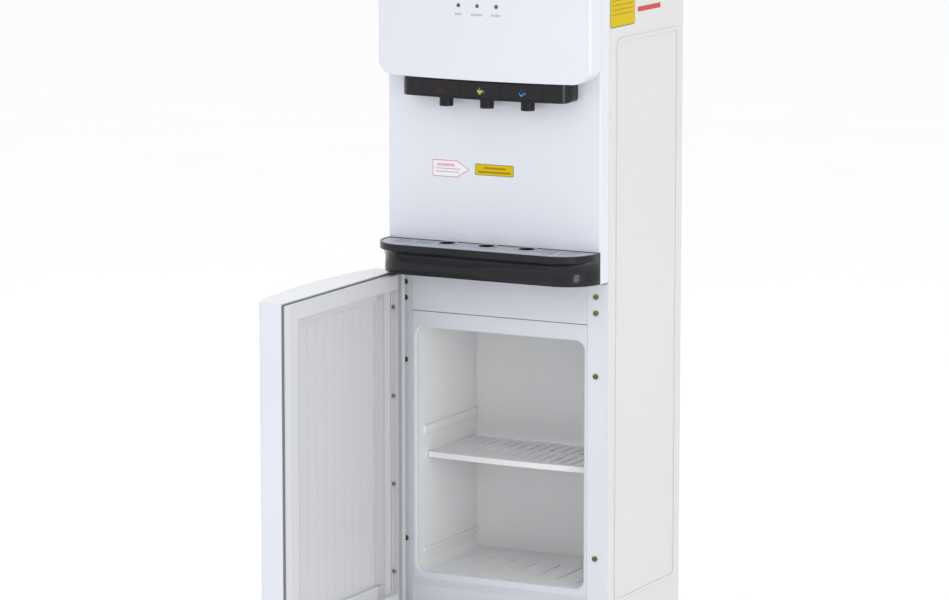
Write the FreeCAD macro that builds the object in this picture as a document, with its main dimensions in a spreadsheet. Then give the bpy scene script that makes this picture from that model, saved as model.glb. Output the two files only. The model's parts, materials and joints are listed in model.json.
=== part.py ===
import FreeCAD, Part
import math
import os

import Sketcher
from FreeCAD import Placement, Rotation, Vector

# A floor-standing water dispenser with three taps, a drip tray and a small cooled
# cabinet whose door hangs on the left.  Millimetres, +Z up, +X to the user's right,
# -Y towards the user.  The origin is on the floor, under the middle of the cabinet.
# The door is drawn standing open at a right angle.

DIMENSIONS = {
    # the cabinet
    "half_width": 154,
    "half_depth": 112,
    "sheet": 1,
    "wall": 2.5,
    "play": 0.3,
    "foot_high": 20,
    "plinth_top": 100,
    "seam_high": 501.3,
    "apron_top": 555.4,
    "tray_low": 559,
    "tray_top": 600,
    "fascia_low": 817.3,
    "fascia_top": 960,
    "cover_top": 998,
    # the front, seen from above
    "panel_face": -135,
    "frame_face": -118,
    "frame_half": 127.5,
    "bow_edge": -165,
    "bow_rise": 16,
    "bow_corner": 7,
    # the door
    "hinge_x": -147.5,
    "hinge_y": -133.5,
    "door_low": 105,
    "door_top": 555,
    "door_inner": -127.5,
    "gasket_width": 19,
    "gasket_deep": 8.7,
    "pin_radius": 3,
    "pin_play": 0.05,
    # the cooled cabinet
    "cabin_half": 121.5,
    "cabin_low": 152,
    "cabin_top": 479,
    "cabin_back": 54,
    "cabin_corner": 12,
    "liner": 1.6,
    "shelf_top": 306,
    # taps and their bar
    "tap_pitch": 58.6,
    "tap_y": -153,
    "tap_radius": 9,
    "spout_low": 779.4,
    "barrel_high": 804,
    "bar_low": 792,
    "bar_half": 121,
    "bar_front": -173.7,
    "key_travel": 4,
    # drip tray
    "tray_front": -195,
    "tray_corner": 48,
    "lip_high": 9,
    # water system
    "tank_y": 5,
    "cold_radius": 70,
    "cold_low": 775,
    "cold_top": 926,
    "hot_x": -72,
    "hot_y": 30,
    "hot_radius": 46,
    "hot_low": 590,
    "hot_top": 700,
    "hose_radius": 5,
    "back_face": 113,
}

doc = FreeCAD.newDocument("water_dispenser")
sheet = doc.addObject("Spreadsheet::Sheet", "dims")
for row, (word, value) in enumerate(DIMENSIONS.items(), start=1):
    sheet.set(f"A{row}", word)
    sheet.set(f"B{row}", str(value))
    sheet.setAlias(f"B{row}", word)
doc.recompute()


class Size:
    """A length that remembers the sheet formula it comes from."""

    def __init__(self, value, formula):
        self.value = float(value)
        self.formula = formula

    def join(self, sign, other, value):
        return Size(value, f"({self.formula} {sign} {formula_of(other)})")

    def __add__(self, other):
        return self.join("+", other, self.value + number(other))

    def __sub__(self, other):
        return self.join("-", other, self.value - number(other))

    def __mul__(self, other):
        return self.join("*", other, self.value * number(other))

    def __truediv__(self, other):
        return self.join("/", other, self.value / number(other))

    def __radd__(self, other):
        return Size(number(other) + self.value, f"({formula_of(other)} + {self.formula})")

    def __rsub__(self, other):
        return Size(number(other) - self.value, f"({formula_of(other)} - {self.formula})")

    def __rmul__(self, other):
        return Size(number(other) * self.value, f"({formula_of(other)} * {self.formula})")

    def __neg__(self):
        return Size(-self.value, f"(0 - {self.formula})")


def number(size):
    return size.value if isinstance(size, Size) else float(size)


def formula_of(size):
    return size.formula if isinstance(size, Size) else f"{float(size):.6g}"


class Dimensions:
    """The sheet's driving dimensions, read by name."""

    def __getattr__(self, word):
        return Size(sheet.get(word), f"dims.{word}")


d = Dimensions()
parts = {}


def part(label, piece):
    """Register an object as a finished sub-part."""
    piece.Label = label
    parts[label] = piece
    return piece


def bind(piece, prop, size):
    """Tie one property to the sheet."""
    if isinstance(size, Size):
        piece.setExpression(prop, size.formula)
    else:
        setattr(piece, prop, size)


def place(piece, base, rotation=None):
    """Put a piece at base, with its position tied to the sheet."""
    piece.Placement = Placement(Vector(*[number(v) for v in base]), rotation or Rotation())
    for axis, size in zip("xyz", base):
        if isinstance(size, Size):
            piece.setExpression(f"Placement.Base.{axis}", size.formula)
    return piece


# ---- solids made from primitives ------------------------------------------------------


def box(name, low, high):
    """A box between its lowest and highest corners."""
    solid = doc.addObject("Part::Box", name)
    for prop, a, b in zip(("Length", "Width", "Height"), low, high):
        bind(solid, prop, b - a)
    return place(solid, low)


TURNS = {
    "X": Rotation(Vector(0, 1, 0), 90),
    "Y": Rotation(Vector(1, 0, 0), -90),
    "Z": Rotation(),
}


def rod(name, base, radius, length, axis="Z"):
    """A cylinder that runs from base along the axis."""
    solid = doc.addObject("Part::Cylinder", name)
    bind(solid, "Radius", radius)
    bind(solid, "Height", length)
    return place(solid, base, TURNS[axis])


def ring(name, centre, radius, wire):
    """A torus lying flat round centre."""
    solid = doc.addObject("Part::Torus", name)
    bind(solid, "Radius1", radius)
    bind(solid, "Radius2", wire)
    return place(solid, centre)


def fuse(name, *pieces):
    joined = doc.addObject("Part::MultiFuse", name)
    joined.Shapes = list(pieces)
    return joined


def cut(name, base, *tools):
    trimmed = doc.addObject("Part::Cut", name)
    trimmed.Base = base
    trimmed.Tool = tools[0] if len(tools) == 1 else fuse(f"{name}_tools", *tools)
    return trimmed


def group(name, *pieces):
    """Separate solids that share one node."""
    together = doc.addObject("Part::Compound", name)
    together.Links = list(pieces)
    return together


def tube(name, points, radius, bend, bore=None):
    """A pipe of straight runs joined by arcs that meet them smoothly."""
    route = [Vector(*[number(v) for v in point]) for point in points]
    edges = []
    start = route[0]
    for before, corner, after in zip(route, route[1:], route[2:]):
        to_before = (before - corner).normalize()
        to_after = (after - corner).normalize()
        half_turn = (math.pi - to_before.getAngle(to_after)) / 2
        leave = corner + to_before * (bend * math.tan(half_turn))
        rejoin = corner + to_after * (bend * math.tan(half_turn))
        inward = (to_before + to_after).normalize()
        middle = corner + inward * (bend / math.cos(half_turn) - bend)
        edges.append(Part.LineSegment(start, leave).toShape())
        edges.append(Part.Arc(leave, middle, rejoin).toShape())
        start = rejoin
    edges.append(Part.LineSegment(start, route[-1]).toShape())
    path = Part.Wire(edges)
    direction = (route[1] - route[0]).normalize()

    def swept(size):
        circle = Part.Wire([Part.Circle(route[0], direction, number(size)).toShape()])
        return path.makePipeShell([circle], True, True)

    solid = swept(radius)
    if bore is not None:
        solid = solid.cut(swept(bore))
    pipe = doc.addObject("Part::Feature", name)
    pipe.Shape = solid
    return pipe


# ---- solids made from sketches --------------------------------------------------------

PLANES = {"X": "YZ_Plane", "Y": "XZ_Plane", "Z": "XY_Plane"}


def new_body(label):
    return part(label, doc.addObject("PartDesign::Body", label))


def origin_plane(body, axis):
    for feature in body.Origin.OriginFeatures:
        if feature.Role == PLANES[axis]:
            return feature


def arc_between(start, end, radius):
    """The short arc from start to end; a positive radius turns to the left."""
    chord = end - start
    left = Vector(-chord.y, chord.x, 0).normalize()
    reach = math.sqrt(max(radius * radius - chord.Length ** 2 / 4, 0))
    centre = (start + end) / 2 + left * math.copysign(reach, radius)
    first, last = (start, end) if radius > 0 else (end, start)
    angles = [math.atan2(p.y - centre.y, p.x - centre.x) for p in (first, last)]
    circle = Part.Circle(centre, Vector(0, 0, 1), abs(radius))
    return Part.ArcOfCircle(circle, angles[0], angles[1])


def draw(sketch, corners, closed=True):
    """Add one outline.  A corner is (u, v), or (u, v, radius) before an arc."""
    spots = [Vector(number(c[0]), number(c[1]), 0) for c in corners]
    count = len(corners) if closed else len(corners) - 1
    edges = []
    for i in range(count):
        start, end = spots[i], spots[(i + 1) % len(corners)]
        if len(corners[i]) == 3:
            radius = corners[i][2]
            edge = sketch.addGeometry(arc_between(start, end, number(radius)))
            ends = (1, 2) if number(radius) > 0 else (2, 1)
            wanted = radius if number(radius) > 0 else -radius
            at = sketch.addConstraint(Sketcher.Constraint("Radius", edge, number(wanted)))
            if isinstance(wanted, Size):
                sketch.setExpression(f"Constraints[{at}]", wanted.formula)
        else:
            edge = sketch.addGeometry(Part.LineSegment(start, end))
            ends = (1, 2)
        edges.append((edge, ends))
    for (edge, ends), (after, after_ends) in zip(edges, edges[1:] + edges[:1]):
        if closed or after != edges[0][0]:
            sketch.addConstraint(
                Sketcher.Constraint("Coincident", edge, ends[1], after, after_ends[0])
            )
    fixed = [(edge, ends[0]) for edge, ends in edges]
    if not closed:
        fixed.append((edges[-1][0], edges[-1][1][1]))
    for (edge, end), corner in zip(fixed, corners):
        for kind, size in zip(("DistanceX", "DistanceY"), corner):
            at = sketch.addConstraint(
                Sketcher.Constraint(kind, -1, 1, edge, end, number(size))
            )
            if isinstance(size, Size):
                sketch.setExpression(f"Constraints[{at}]", size.formula)


def hole(sketch, centre, radius):
    """Add one full circle to a sketch."""
    u, v = [number(size) for size in centre]
    circle = sketch.addGeometry(Part.Circle(Vector(u, v, 0), Vector(0, 0, 1), number(radius)))
    sizes = [("Radius", (circle,), radius)]
    sizes.append(("DistanceX", (-1, 1, circle, 3), centre[0]))
    sizes.append(("DistanceY", (-1, 1, circle, 3), centre[1]))
    for kind, where, size in sizes:
        at = sketch.addConstraint(Sketcher.Constraint(kind, *where, number(size)))
        if isinstance(size, Size):
            sketch.setExpression(f"Constraints[{at}]", size.formula)


def new_sketch(body, axis, offset):
    """A sketch square to the axis; on Y it faces the user, and shows x and z."""
    sketch = body.newObject("Sketcher::SketchObject", f"{body.Name}_sketch")
    sketch.AttachmentSupport = [(origin_plane(body, axis), "")]
    sketch.MapMode = "FlatFace"
    along = -offset if axis == "Y" else offset
    sketch.AttachmentOffset = Placement(Vector(0, 0, number(along)), Rotation())
    if isinstance(along, Size):
        sketch.setExpression("AttachmentOffset.Base.z", along.formula)
    return sketch


def prism(body, axis, low, high, outlines, circles=(), remove=False):
    """Pad, or pocket, outlines between two heights along an axis."""
    sketch = new_sketch(body, axis, high if axis == "Y" else low)
    for corners in outlines:
        draw(sketch, corners)
    for centre, radius in circles:
        hole(sketch, centre, radius)
    before = body.Shape.Volume if remove else 0
    kind = "Pocket" if remove else "Pad"
    feature = body.newObject(f"PartDesign::{kind}", f"{body.Name}_{kind}")
    feature.Profile = sketch
    feature.Reversed = remove
    bind(feature, "Length", high - low)
    doc.recompute()
    if remove and body.Shape.Volume > before - 1e-6:
        raise RuntimeError(f"{feature.Name} cuts nothing")
    return feature


def add(body, axis, low, high, *outlines, circles=()):
    return prism(body, axis, low, high, outlines, circles)


def remove(body, axis, low, high, *outlines, circles=()):
    return prism(body, axis, low, high, outlines, circles, remove=True)


def repeat(body, feature, count, pitch, axis="H_Axis", reverse=False):
    """Copy a feature along its sketch's horizontal or vertical axis."""
    pattern = body.newObject("PartDesign::LinearPattern", f"{feature.Name}_row")
    pattern.Originals = [feature]
    pattern.Direction = (feature.Profile[0], [axis])
    pattern.Reversed = reverse
    pattern.Length = pitch * (count - 1)
    pattern.Occurrences = count
    body.Tip = pattern
    doc.recompute()
    return pattern


def turned(label, centre, profile):
    """A body turned about a vertical axis from (radius, height) points."""
    body = new_body(label)
    sketch = new_sketch(body, "Y", 0)
    draw(sketch, profile)
    feature = body.newObject("PartDesign::Revolution", f"{body.Name}_turn")
    feature.Profile = sketch
    feature.ReferenceAxis = (sketch, ["V_Axis"])
    feature.Angle = 360
    place(body, (centre[0], centre[1], 0))
    doc.recompute()
    return body


def fillet(body, radius, wanted):
    """Round the edges of a body whose middle point the test picks."""
    names = []
    for i, edge in enumerate(body.Shape.Edges, start=1):
        middle = edge.valueAt((edge.FirstParameter + edge.LastParameter) / 2)
        if wanted(middle):
            names.append(f"Edge{i}")
    tip = body.Tip
    feature = body.newObject("PartDesign::Fillet", f"{body.Name}_fillet")
    feature.Base = (tip, names)
    bind(feature, "Radius", radius)
    doc.recompute()
    if not names or not body.Shape.isValid():
        raise RuntimeError(f"{feature.Name} failed")


def rectangle(u0, v0, u1, v1):
    return [(u0, v0), (u1, v0), (u1, v1), (u0, v1)]


def rounded(u0, v0, u1, v1, r):
    """A rectangle with round corners."""
    return [
        (u0 + r, v0),
        (u1 - r, v0, r),
        (u1, v0 + r),
        (u1, v1 - r, r),
        (u1 - r, v1),
        (u0 + r, v1, r),
        (u0, v1 - r),
        (u0, v0 + r, r),
    ]


def arc_radius(half_chord, rise):
    """The radius of the arc that rises this much over a chord."""
    return (half_chord * half_chord + rise * rise) / (rise * 2)


def bowed(left, right, back, edge, corner, rise):
    """A plan outline with a straight back and a front that bows towards the user."""
    bow = arc_radius((right - left - corner * 2) / 2, rise)
    return [
        (left, back),
        (left, edge + corner, corner),
        (left + corner, edge, bow),
        (right - corner, edge, corner),
        (right, edge + corner),
        (right, back),
    ]


tap_names = {"hot": -1, "normal": 0, "cold": 1}


# ---- outer casing ---------------------------------------------------------------------


def make_side_panels():
    """Steel sides: folded at both edges, with a pressed bead round the middle."""
    flange = 12
    bead_width = 5
    bead_front = -90
    bead_back = 97
    bead_low = 130
    bead_top = 870
    for word, side in (("left", -1), ("right", 1)):
        body = new_body(f"side_panel_{word}")
        out = d.half_width * side
        skin = (d.half_width - d.sheet) * side
        fold = (d.half_width - flange) * side
        front = -d.half_depth
        back = d.half_depth
        section = [
            (out, front),
            (out, back),
            (fold, back),
            (fold, back - d.sheet),
            (skin, back - d.sheet),
            (skin, front + d.sheet),
            (fold, front + d.sheet),
            (fold, front),
        ]
        add(body, "Z", d.foot_high, d.fascia_top, section)
        outer = rounded(bead_front, bead_low, bead_back, bead_top, 10)
        inner = rounded(
            bead_front + bead_width,
            bead_low + bead_width,
            bead_back - bead_width,
            bead_top - bead_width,
            6,
        )
        proud = out + d.sheet * side
        low, high = (proud, skin) if side < 0 else (skin, proud)
        add(body, "X", low, high, outer, inner)


def make_base():
    """Floor pan, with the four rubber feet under it."""
    half = d.half_width - d.sheet - 0.2
    depth = d.half_depth - d.sheet - 0.2
    pan = box("pan_floor", (-half, -depth, d.foot_high), (half, depth, d.foot_high + 1.5))
    part("base_pan", pan)
    feet = []
    for x in (-125, 125):
        for y in (-92, 90):
            feet.append(rod("foot", (x, y, 0), 16, d.foot_high))
    part("feet", group("feet_group", *feet))


def make_plinth():
    """Bowed kick panel under the door."""
    low = d.foot_high + 2
    skin = d.wall
    back = -d.half_depth - d.play
    body = new_body("plinth")
    outer = bowed(-d.half_width, d.half_width, back, d.bow_edge, d.bow_corner, d.bow_rise)
    add(body, "Z", low, d.plinth_top, outer)
    inner = bowed(
        -d.half_width + skin,
        d.half_width - skin,
        back + 1,
        d.bow_edge + skin,
        d.bow_corner - skin,
        d.bow_rise,
    )
    remove(body, "Z", low - 1, d.plinth_top - skin, inner)
    slot = remove(body, "Y", -190, -160, rectangle(-60, 45, 60, 48.5))
    repeat(body, slot, 5, 9, "V_Axis")


def make_back():
    """Rear sheet, with vents, and the openings for what comes through it."""
    body = new_body("back_panel")
    half = d.half_width - d.sheet
    add(body, "Y", d.half_depth, d.back_face, rectangle(-half, d.foot_high + 2, half, d.fascia_top))
    for first in (40, 850):
        vent = remove(
            body, "Y", d.half_depth - 1, d.back_face + 1, rectangle(-70, first, 70, first + 5)
        )
        repeat(body, vent, 6, 12, "V_Axis")
    openings = [rectangle(x - 8.7, 700 - 13.7, x + 8.7, 700 + 13.7) for x in (80, 105)]
    ports = [((110, 560), 8.3), ((-115, 80), 7.2)]
    remove(body, "Y", d.half_depth - 1, d.back_face + 1, *openings, circles=ports)


# ---- white front ----------------------------------------------------------------------


def screw_heights():
    """Two screws close together at the top of each post, one lower, one at the foot."""
    return (538.6, 517.4, 434.7, 194.3)


def make_posts():
    """Slanted posts each side of the cabinet's mouth, and their screws."""
    screws = []
    for word, side in (("left", -1), ("right", 1)):
        body = new_body(f"front_post_{word}")
        inner = (d.frame_half + 0.2) * side
        outer = d.half_width * side
        step = (d.half_width - 13) * side
        section = [
            (inner, d.frame_face),
            (outer, -113.6),
            (outer, -d.half_depth - 0.1),
            (step, -d.half_depth - 0.1),
            (step, -108),
            (inner, -108),
        ]
        add(body, "Z", d.plinth_top + 0.3, d.apron_top, section)
        middles = [((138.5 * side, z), 3.5) for z in screw_heights()]
        remove(body, "Y", -119, -107, circles=middles)
        for z in screw_heights():
            head = rod("screw_head", (138.5 * side, -117.6, z), 3.5, 9.6, "Y")
            slot = box("slot", (138.5 * side - 3, -118, z - 0.5), (138.5 * side + 3, -116.6, z + 0.5))
            screws.append(cut("screw", head, slot))
    part("frame_screws", group("screws", *screws))


def make_front_frame():
    """White frame round the mouth of the cooled cabinet, and the apron above its seam."""
    half = d.frame_half
    body = new_body("front_frame")
    outer = rectangle(-half, d.plinth_top + 0.3, half, d.seam_high)
    gap = 0.3
    mouth = rounded(
        -d.cabin_half - gap,
        d.cabin_low - gap,
        d.cabin_half + gap,
        d.cabin_top + gap,
        d.cabin_corner + gap,
    )
    add(body, "Y", d.frame_face, d.frame_face + 5.5, outer, mouth)
    mouth_half = number(d.cabin_half) + 1
    fillet(
        body,
        3.5,
        lambda middle: abs(middle.y - number(d.frame_face)) < 0.01
        and abs(middle.x) < mouth_half
        and number(d.cabin_low) - 1 < middle.z < number(d.cabin_top) + 1,
    )
    toe = [(d.frame_face - 1, 143), (d.frame_face, 143), (d.frame_face + 3, 132)]
    toe += [(d.frame_face + 3, 99), (d.frame_face - 1, 99)]
    remove(body, "X", -half - 1, half + 1, toe)
    apron = new_body("tray_apron")
    face = rectangle(-half, d.seam_high + 0.8, half, d.apron_top)
    add(apron, "Y", d.frame_face, d.frame_face + d.wall, face)
    ledge = rectangle(-half, d.apron_top - d.wall, half, d.apron_top)
    add(apron, "Y", d.frame_face + 1, -90, ledge)


def make_mid_panel():
    """Plain wall behind the taps, wrapped back to the steel sides."""
    body = new_body("mid_panel")
    half = d.half_width
    back = -d.half_depth - d.play
    face = d.panel_face
    r = d.wall + 1
    section = [
        (-half, back),
        (-half, face + r, r),
        (-half + r, face),
        (half - r, face, r),
        (half, face + r),
        (half, back),
        (half - d.wall, back),
        (half - d.wall, face + d.wall),
        (-half + d.wall, face + d.wall),
        (-half + d.wall, back),
    ]
    add(body, "Z", d.tray_low, d.fascia_top, section)
    barrels = [((d.tap_pitch * i, d.barrel_high), d.tap_radius + 0.5) for i in (-1, 0, 1)]
    tongues = [rectangle(x - 12.5, 570, x + 12.5, 576.6) for x in (-85, 85)]
    remove(body, "Y", face - 1, face + d.wall + 1, *tongues, circles=barrels)


def fascia_block(label, low, high, half, back, edge, corner, rise, round_low):
    """A bowed block whose two lower corners are round when seen from the front."""
    body = doc.addObject("PartDesign::Body", label)
    add(body, "Z", low, high, bowed(-half, half, back, edge, corner, rise))
    for side in (-1, 1):
        outer = (half + 5) * side
        wall = half * side
        turn = (half - round_low) * side
        bend = round_low if side < 0 else -round_low
        spandrel = [
            (turn, low - 5),
            (turn, low, -bend),
            (wall, low + round_low),
            (outer, low + round_low),
            (outer, low - 5),
        ]
        remove(body, "Y", -230, 140, spandrel)
    return body


def make_fascia():
    """Glossy bowed front over the taps, with three round indicator windows."""
    skin = d.wall
    back = d.panel_face - d.play
    outer = fascia_block(
        "fascia_outer", d.fascia_low, d.fascia_top, d.half_width, back,
        d.bow_edge, d.bow_corner, d.bow_rise, 25,
    )
    inner = fascia_block(
        "fascia_inner", d.fascia_low + skin, d.fascia_top + 2, d.half_width - skin, back + 2,
        d.bow_edge + skin, d.bow_corner - skin, d.bow_rise, 22.5,
    )
    windows = [
        rod("window", (x, -190, indicator_high()), 2.5, 20, "Y") for x in indicator_places()
    ]
    part("upper_fascia", cut("fascia_cut", outer, inner, *windows))


def indicator_high():
    return 912.7


def indicator_places():
    return (-27, 0, 27)


def make_indicators():
    """Three round lenses and the board behind them."""
    lenses = [
        rod("lens", (x, -181.1, indicator_high()), 2.4, 9.1, "Y") for x in indicator_places()
    ]
    part("indicator_lenses", group("lens_group", *lenses))
    part("indicator_board", box("board", (-45, -171.8, 898), (45, -170.2, 928)))


def make_top():
    """Top cover with the round well that takes the bottle seat."""
    body = new_body("top_cover")
    low = d.fascia_top + 0.3
    skin = d.wall
    outer = bowed(
        -d.half_width, d.half_width, d.half_depth + 1, d.bow_edge, d.bow_corner, d.bow_rise
    )
    add(body, "Z", low, d.cover_top, outer)
    fillet(body, 5, lambda middle: abs(middle.z - number(d.cover_top)) < 0.01)
    inner = bowed(
        -d.half_width + skin,
        d.half_width - skin,
        d.half_depth + 1 - skin,
        d.bow_edge + skin,
        d.bow_corner - skin,
        d.bow_rise,
    )
    remove(body, "Z", low - 1, d.cover_top - 10, inner)
    well = [((0, d.tank_y - 25), 106)]
    remove(body, "Z", low, d.cover_top + 1, circles=well)


# ---- water system ---------------------------------------------------------------------


def make_bottle_seat():
    """Lift-out funnel that holds the bottle's neck, with its feed spike."""
    lip = d.cover_top + 0.3
    profile = [
        (14, 934),
        (46, 938),
        (62, 958),
        (98, 972),
        (103, lip),
        (113, lip),
        (112, lip + 4),
        (104, lip + 6),
        (99, lip + 4),
        (94, 976),
        (59, 963),
        (43, 942),
        (14, 938),
    ]
    turned("bottle_seat", (0, d.tank_y - 25), profile)
    spike = [(4, 928), (13.8, 928), (13.8, 940), (8, 943), (8, 975), (5, 988), (4, 988)]
    body = turned("feed_spike", (0, d.tank_y - 25), spike)
    remove(body, "Y", -20, 20, rectangle(-3, 950, 3, 968))


def make_cold_tank():
    """Steel reservoir, the cooling rings round it and its moulded insulation."""
    r = d.cold_radius
    low = d.cold_low
    top = d.cold_top
    profile = [
        (0, low),
        (r - 8, low),
        (r, low + 8),
        (r, top),
        (r - 1.2, top),
        (r - 1.2, low + 9),
        (r - 9, low + 1.2),
        (0, low + 1.2),
    ]
    turned("cold_tank", (0, d.tank_y), profile)
    rings = [ring("turn", (0, d.tank_y, low + 44 + 11 * i), r + 3, 2.6) for i in range(8)]
    part("evaporator_coil", group("coil_turns", *rings))
    block = box("foam_block", (-88, d.tank_y - 84, low - 12), (88, d.tank_y + 84, top - 1))
    cavity = rod("foam_cavity", (0, d.tank_y, low - 0.5), r + 6.5, 200)
    port = rod("foam_port", (0, d.tank_y - 90, d.barrel_high), d.hose_radius + 0.2, 60, "Y")
    drop = rod("foam_drop", (40, d.tank_y, low - 20), d.hose_radius + 0.2, 30)
    part("cold_tank_foam", cut("foam_cut", block, cavity, port, drop))


def make_hot_tank():
    """Small steel boiler with its heater band, thermostats and felt jacket."""
    x, y, r = d.hot_x, d.hot_y, d.hot_radius
    low = d.hot_low
    top = d.hot_top
    boiler = rod("boiler", (x, y, low), r, top - low)
    inside = rod("boiler_inside", (x, y, low + 1.2), r - 1.2, top - low - 2.4)
    part("hot_tank", cut("boiler_cut", boiler, inside))
    band = rod("band", (x, y, low + 25), r + 3, 30)
    bore = rod("band_bore", (x, y, low + 20), r + 0.05, 40)
    part("heater_band", cut("band_cut", band, bore))
    jacket = rod("jacket", (x, y, low + 2), r + 14, top - low - 4)
    hollow = rod("jacket_hollow", (x, y, low), r + 3.3, top - low + 4)
    part("hot_tank_jacket", cut("jacket_cut", jacket, hollow))
    discs = [rod("thermostat", (x + 18 * side, y, top), 8, 9) for side in (-1, 1)]
    part("thermostats", group("thermostat_pair", *discs))


def make_hoses():
    """Silicone hoses from the tanks to the three taps."""
    inlet = -90
    radius = d.hose_radius
    high = d.barrel_high
    normal_route = [(0, inlet, high), (0, d.tank_y - d.cold_radius, high)]
    beside = inlet + 5.2
    cold_x = d.tap_pitch
    cold_route = [
        (cold_x - 5, beside, high),
        (cold_x + 36, beside, high),
        (cold_x + 36, beside, 740),
        (40, d.tank_y, 740),
        (40, d.tank_y, d.cold_low),
    ]
    hot_route = [
        (-d.tap_pitch + 5, beside, high),
        (-d.tap_pitch - 36, beside, high),
        (-d.tap_pitch - 36, beside, 735),
        (d.hot_x, d.hot_y, 735),
        (d.hot_x, d.hot_y, d.hot_top),
    ]
    routes = (normal_route, cold_route, hot_route)
    part("tap_hoses", group("hoses", *[tube("hose", route, radius, 12, 3) for route in routes]))


def make_drain():
    """Rear drain: a spout through the back sheet, and its push-in plug."""
    x, z = 110, 560
    shell = rod("spout_shell", (x, 84, z), 8, 44, "Y")
    flange = rod("spout_flange", (x, d.back_face, z), 12, 3, "Y")
    bore = rod("spout_bore", (x, 88, z), 5, 60, "Y")
    part("drain_spout", cut("spout_cut", fuse("spout", shell, flange), bore))
    stem = rod("plug_stem", (x, 116, z), 4.95, 12.2, "Y")
    head = rod("plug_head", (x, 128.2, z), 9, 5, "Y")
    part("drain_plug", fuse("plug", stem, head))


# ---- taps -----------------------------------------------------------------------------


def make_tap_bar():
    """Glossy black housing in front of the taps, with three windows for the keys."""
    body = new_body("tap_bar")
    top = d.fascia_low - 0.2
    back = d.panel_face - 0.2
    add(body, "Z", d.bar_low, top, bar_outline(0, back))
    remove(body, "Z", d.bar_low + 2, top - 2, bar_outline(2, back - 2))
    nozzles = [((d.tap_pitch * i, d.tap_y), d.tap_radius + 0.4) for i in (-1, 0, 1)]
    remove(body, "Z", d.bar_low - 1, d.bar_low + 3, circles=nozzles)
    for side in (-1, 1):
        wall = d.bar_half * side
        outer = (d.bar_half + 5) * side
        bend = 5.5
        spandrel = [
            ((d.bar_half - bend) * side, d.bar_low - 5),
            ((d.bar_half - bend) * side, d.bar_low, bend * side),
            (wall, d.bar_low + bend),
            (outer, d.bar_low + bend),
            (outer, d.bar_low - 5),
        ]
        remove(body, "Y", -200, -130, spandrel)
    windows = []
    for i in (-1, 0, 1):
        x = d.tap_pitch * i
        windows.append(
            rounded(x - key_half(), d.bar_low + 2, x + key_half(), top - 2, 0.4)
        )
    remove(body, "Y", -190, -158, *windows)
    barrels = [((d.tap_pitch * i, d.barrel_high), d.tap_radius + 0.4) for i in (-1, 0, 1)]
    remove(body, "Y", back - 3, back + 1, circles=barrels)


def key_half():
    """Half the width of a key's window."""
    return d.tap_pitch / 2 - 1


def bar_outline(inset, back):
    """Plan of the bar: a shallow bow between two large round ends."""
    rise = 7
    turn = 19
    half = d.bar_half - inset
    front = d.bar_front + rise + inset
    bow = arc_radius(half - turn, rise)
    return [
        (-half, back),
        (-half, front + turn, turn),
        (-half + turn, front, bow),
        (half - turn, front, turn),
        (half, front + turn),
        (half, back),
    ]


def make_keys():
    """Push keys: a curved face on a stem that opens the valve, with a return spring."""
    top = d.fascia_low - 0.2
    for word, place_at in tap_names.items():
        x = d.tap_pitch * place_at
        tile = doc.addObject("PartDesign::Body", f"tile_{word}")
        add(tile, "Z", d.bar_low + 2.4, top - 2.4, bar_outline(0, -150))
        remove(tile, "Z", d.bar_low, top, bar_outline(2.6, -140))
        half = key_half() - 0.4
        keep = box("keep", (x - half, -180, d.bar_low), (x + half, -158, top))
        face = doc.addObject("Part::Common", "key_face")
        face.Base = tile
        face.Tool = keep
        stem = rod("stem", (x, -172, d.barrel_high), 2.5, 42, "Y")
        head = rod("valve_disc", (x, -134, d.barrel_high), 4.4, 4, "Y")
        part(f"key_{word}", fuse(f"key_{word}_fuse", face, stem, head))
        coils = []
        for step in range(5):
            coil = doc.addObject("Part::Torus", "coil")
            coil.Radius1 = 3.5
            coil.Radius2 = 0.5
            coils.append(place(coil, (x, -148 + 3 * step, d.barrel_high), TURNS["Y"]))
        part(f"key_spring_{word}", group(f"spring_{word}", *coils))


def make_taps():
    """Tap bodies: a short spout below a barrel that runs back to the hose."""
    for word, place_at in tap_names.items():
        x = d.tap_pitch * place_at
        spout = rod("spout", (x, d.tap_y, d.spout_low), d.tap_radius, d.barrel_high - d.spout_low)
        barrel = rod("barrel", (x, -162, d.barrel_high), d.tap_radius, 60, "Y")
        tail = rod("tail", (x, -104, d.barrel_high), 5, 13.9, "Y")
        solid = fuse("tap_solid", spout, barrel, tail)
        water = rod("spout_bore", (x, d.tap_y, d.spout_low - 1), 4.5, 26)
        chamber = rod("chamber", (x, -163, d.barrel_high), 5, 51, "Y")
        through = rod("through", (x, -113, d.barrel_high), 2, 40, "Y")
        part(f"tap_{word}", cut(f"tap_{word}_cut", solid, water, chamber, through))


# ---- drip tray ------------------------------------------------------------------------


def tray_outline(inset, setback=0, back=None):
    """Plan of the tray: straight front, large round corners."""
    half = d.half_width - d.play - inset
    front = d.tray_front + inset + setback
    r = d.tray_corner - inset
    if back is None:
        back = d.panel_face - d.play - inset
    return [
        (-half, back),
        (-half, front + r, r),
        (-half + r, front),
        (half - r, front, r),
        (half, front + r),
        (half, back),
    ]


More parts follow.
